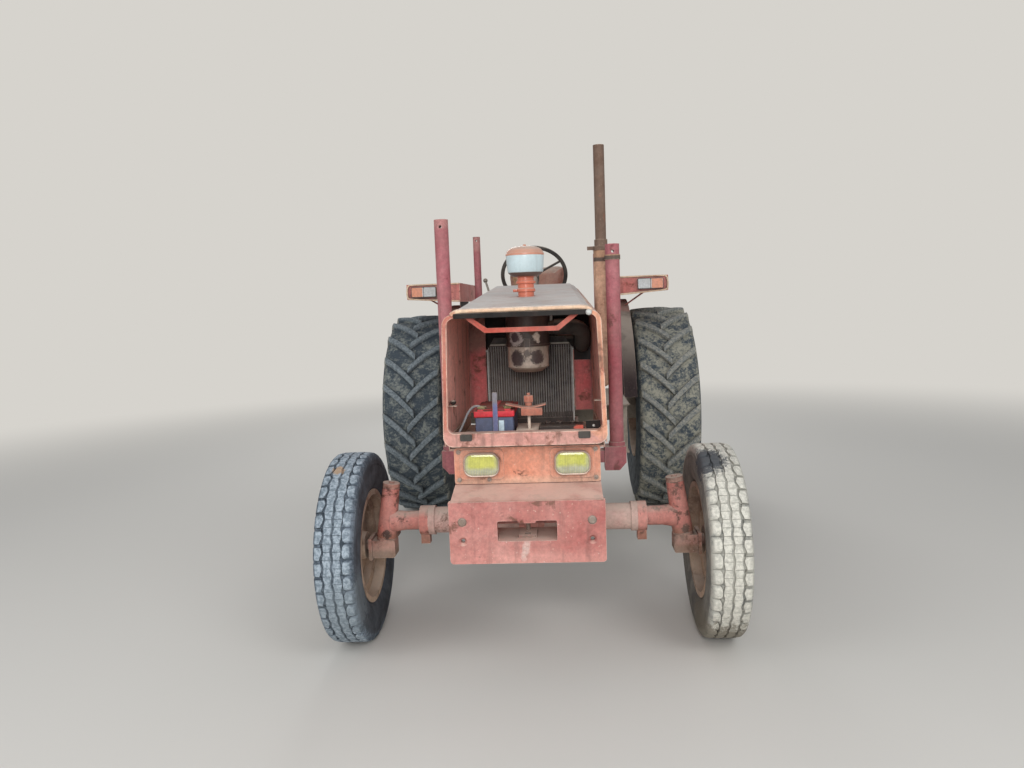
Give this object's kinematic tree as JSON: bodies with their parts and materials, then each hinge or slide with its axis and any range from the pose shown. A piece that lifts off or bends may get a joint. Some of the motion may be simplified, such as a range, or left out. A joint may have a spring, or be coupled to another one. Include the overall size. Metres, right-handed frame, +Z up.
{
  "type": "farm tractor",
  "caption": "Two-wheel-drive farm tractor with an open nose, steered front wheels, tall lugged rear wheels, upright tube posts and a rear three-point hitch.",
  "frame": {"origin": "on the ground under the middle of the overall box", "axes": "+Z up, the front faces -Y, +X is the driver's left"},
  "size_m": [2.334, 4.06, 2.487],
  "materials": {
    "faded_red": "faded, chalky orange-red paint over cast iron",
    "post_red": "dull red paint, worn pale on top",
    "hood_paint": "dusty grey-tan paint with cream worn edges",
    "inner_red": "dirty red paint",
    "lamp_glass": "yellow pressed glass in a pale rim",
    "black_rubber": "matt black rubber",
    "battery_case": "grey-blue plastic with a red lid rim",
    "rusty_steel": "rusty bare steel",
    "radiator_black": "dusty black paint over metal fins",
    "black_paint": "oily black paint",
    "bowl_plastic": "pale cloudy plastic under an orange lid",
    "engine_paint": "oily grey paint over cast iron",
    "exhaust_rust": "tan and brown rust",
    "tyre_front": "dusty grey-black rubber",
    "tyre_rear": "dusty black rubber",
    "rim_rust": "tan rust and dust over paint",
    "dusty_steel": "beige dust over grey paint",
    "clear_lens": "clear and orange lens halves in a black case",
    "seat_cover": "worn brown-red vinyl",
    "steel": "worn bare steel"
  },
  "bodies": {
    "chassis": {"front_plate": "faded_red", "front_support": "faded_red", "lamp_panel": "faded_red", "head_lamps": "lamp_glass", "nose": "faded_red", "bonnet": "hood_paint", "side_panels": "faded_red", "nose_brace": "faded_red", "buffers": "black_rubber", "battery_tray": "inner_red", "battery": "battery_case", "battery_clamp": "rusty_steel", "control_box": "black_paint", "radiator": "radiator_black", "air_cleaner": "black_paint", "precleaner": "bowl_plastic", "engine": "engine_paint", "manifolds": "rusty_steel", "exhaust": "exhaust_rust", "front_posts": "post_red", "post_brackets": "post_red", "axle_beam": "faded_red", "axle_arms": "faded_red", "gearbox": "dusty_steel", "rear_axle": "dusty_steel", "lift_housing": "dusty_steel", "rear_posts": "post_red", "platform": "dusty_steel", "fenders": "faded_red", "fender_caps": "faded_red", "fender_lamps": "clear_lens", "cowl": "faded_red", "steering_column": "black_paint", "seat_frame": "black_paint", "seat_cushion": "seat_cover", "seat_back": "seat_cover", "levers": "steel", "pedals": "black_paint", "air_pipe": "black_rubber", "fan_drive": "engine_paint", "alternator": "steel", "injection_pump": "engine_paint", "fuel_filters": "black_paint", "starter": "engine_paint", "drawbar": "rusty_steel"},
    "knuckle_left": {"knuckle_left": "faded_red"},
    "knuckle_right": {"knuckle_right": "faded_red"},
    "tie_rod": {"tie_rod": "rusty_steel"},
    "front_wheel_left": {"front_tyre_left": "tyre_front", "front_rim_left": "rim_rust"},
    "front_wheel_right": {"front_tyre_right": "tyre_front", "front_rim_right": "rim_rust"},
    "rear_wheel_left": {"rear_tyre_left": "tyre_rear", "rear_rim_left": "rim_rust"},
    "rear_wheel_right": {"rear_tyre_right": "tyre_rear", "rear_rim_right": "rim_rust"},
    "steering_wheel": {"steering_wheel": "black_rubber"},
    "lift_arms": {"lift_arms": "rusty_steel"},
    "lower_links": {"lower_links": "rusty_steel"},
    "lift_rods": {"lift_rods": "rusty_steel"}
  },
  "joints": [
    {"name": "steer_left", "type": "hinge", "parent": "chassis", "child": "knuckle_left", "pos_m": [0.74, -1.47, 0.466], "axis": [-0.1357, 0, 0.9907], "range_deg": [-45, 45]},
    {"name": "steer_right", "type": "hinge", "parent": "chassis", "child": "knuckle_right", "pos_m": [-0.74, -1.47, 0.466], "axis": [0.1357, 0, 0.9907], "range_deg": [-45, 45]},
    {"name": "tie_rod_end", "type": "hinge", "parent": "knuckle_left", "child": "tie_rod", "pos_m": [0.73123, -1.27, 0.53], "axis": [-0.1356, -0.037, 0.9901], "range_deg": [-45, 45]},
    {"name": "steering_wheel_turn", "type": "hinge", "parent": "chassis", "child": "steering_wheel", "pos_m": [0, 0.15, 1.83], "axis": [0, 0.8339, 0.5519], "range_deg": [-720, 720]},
    {"name": "front_left_roll", "type": "hinge", "parent": "knuckle_left", "child": "front_wheel_left", "pos_m": [0.883, -1.47, 0.466], "axis": [1, 0, 0], "continuous": true},
    {"name": "front_right_roll", "type": "hinge", "parent": "knuckle_right", "child": "front_wheel_right", "pos_m": [-0.883, -1.47, 0.466], "axis": [1, 0, 0], "continuous": true},
    {"name": "rear_left_roll", "type": "hinge", "parent": "chassis", "child": "rear_wheel_left", "pos_m": [0.935, 1.08, 0.787], "axis": [1, 0, 0], "continuous": true},
    {"name": "rear_right_roll", "type": "hinge", "parent": "chassis", "child": "rear_wheel_right", "pos_m": [-0.935, 1.08, 0.787], "axis": [1, 0, 0], "continuous": true},
    {"name": "link_raise", "type": "hinge", "parent": "chassis", "child": "lower_links", "pos_m": [0, 1.14, 0.48], "axis": [1, 0, 0], "range_deg": [-12, 34]},
    {"name": "lift_arm_raise", "type": "hinge", "parent": "chassis", "child": "lift_arms", "pos_m": [0, 1.22, 1.01], "axis": [1, 0, 0], "range_deg": [-17, 47]},
    {"name": "lift_rod_swing", "type": "hinge", "parent": "lift_arms", "child": "lift_rods", "pos_m": [0, 1.51886, 0.98385], "axis": [1, 0, 0], "range_deg": [-46, 17]}
  ],
  "couplings": [
    {"joint": "steer_right", "follows": "steer_left", "ratio": 1},
    {"joint": "tie_rod_end", "follows": "steer_left", "ratio": -1},
    {"joint": "steering_wheel_turn", "follows": "steer_left", "ratio": 16},
    {"joint": "lift_arm_raise", "follows": "link_raise", "ratio": 1.3649},
    {"joint": "lift_rod_swing", "follows": "link_raise", "ratio": -1.3265}
  ]
}
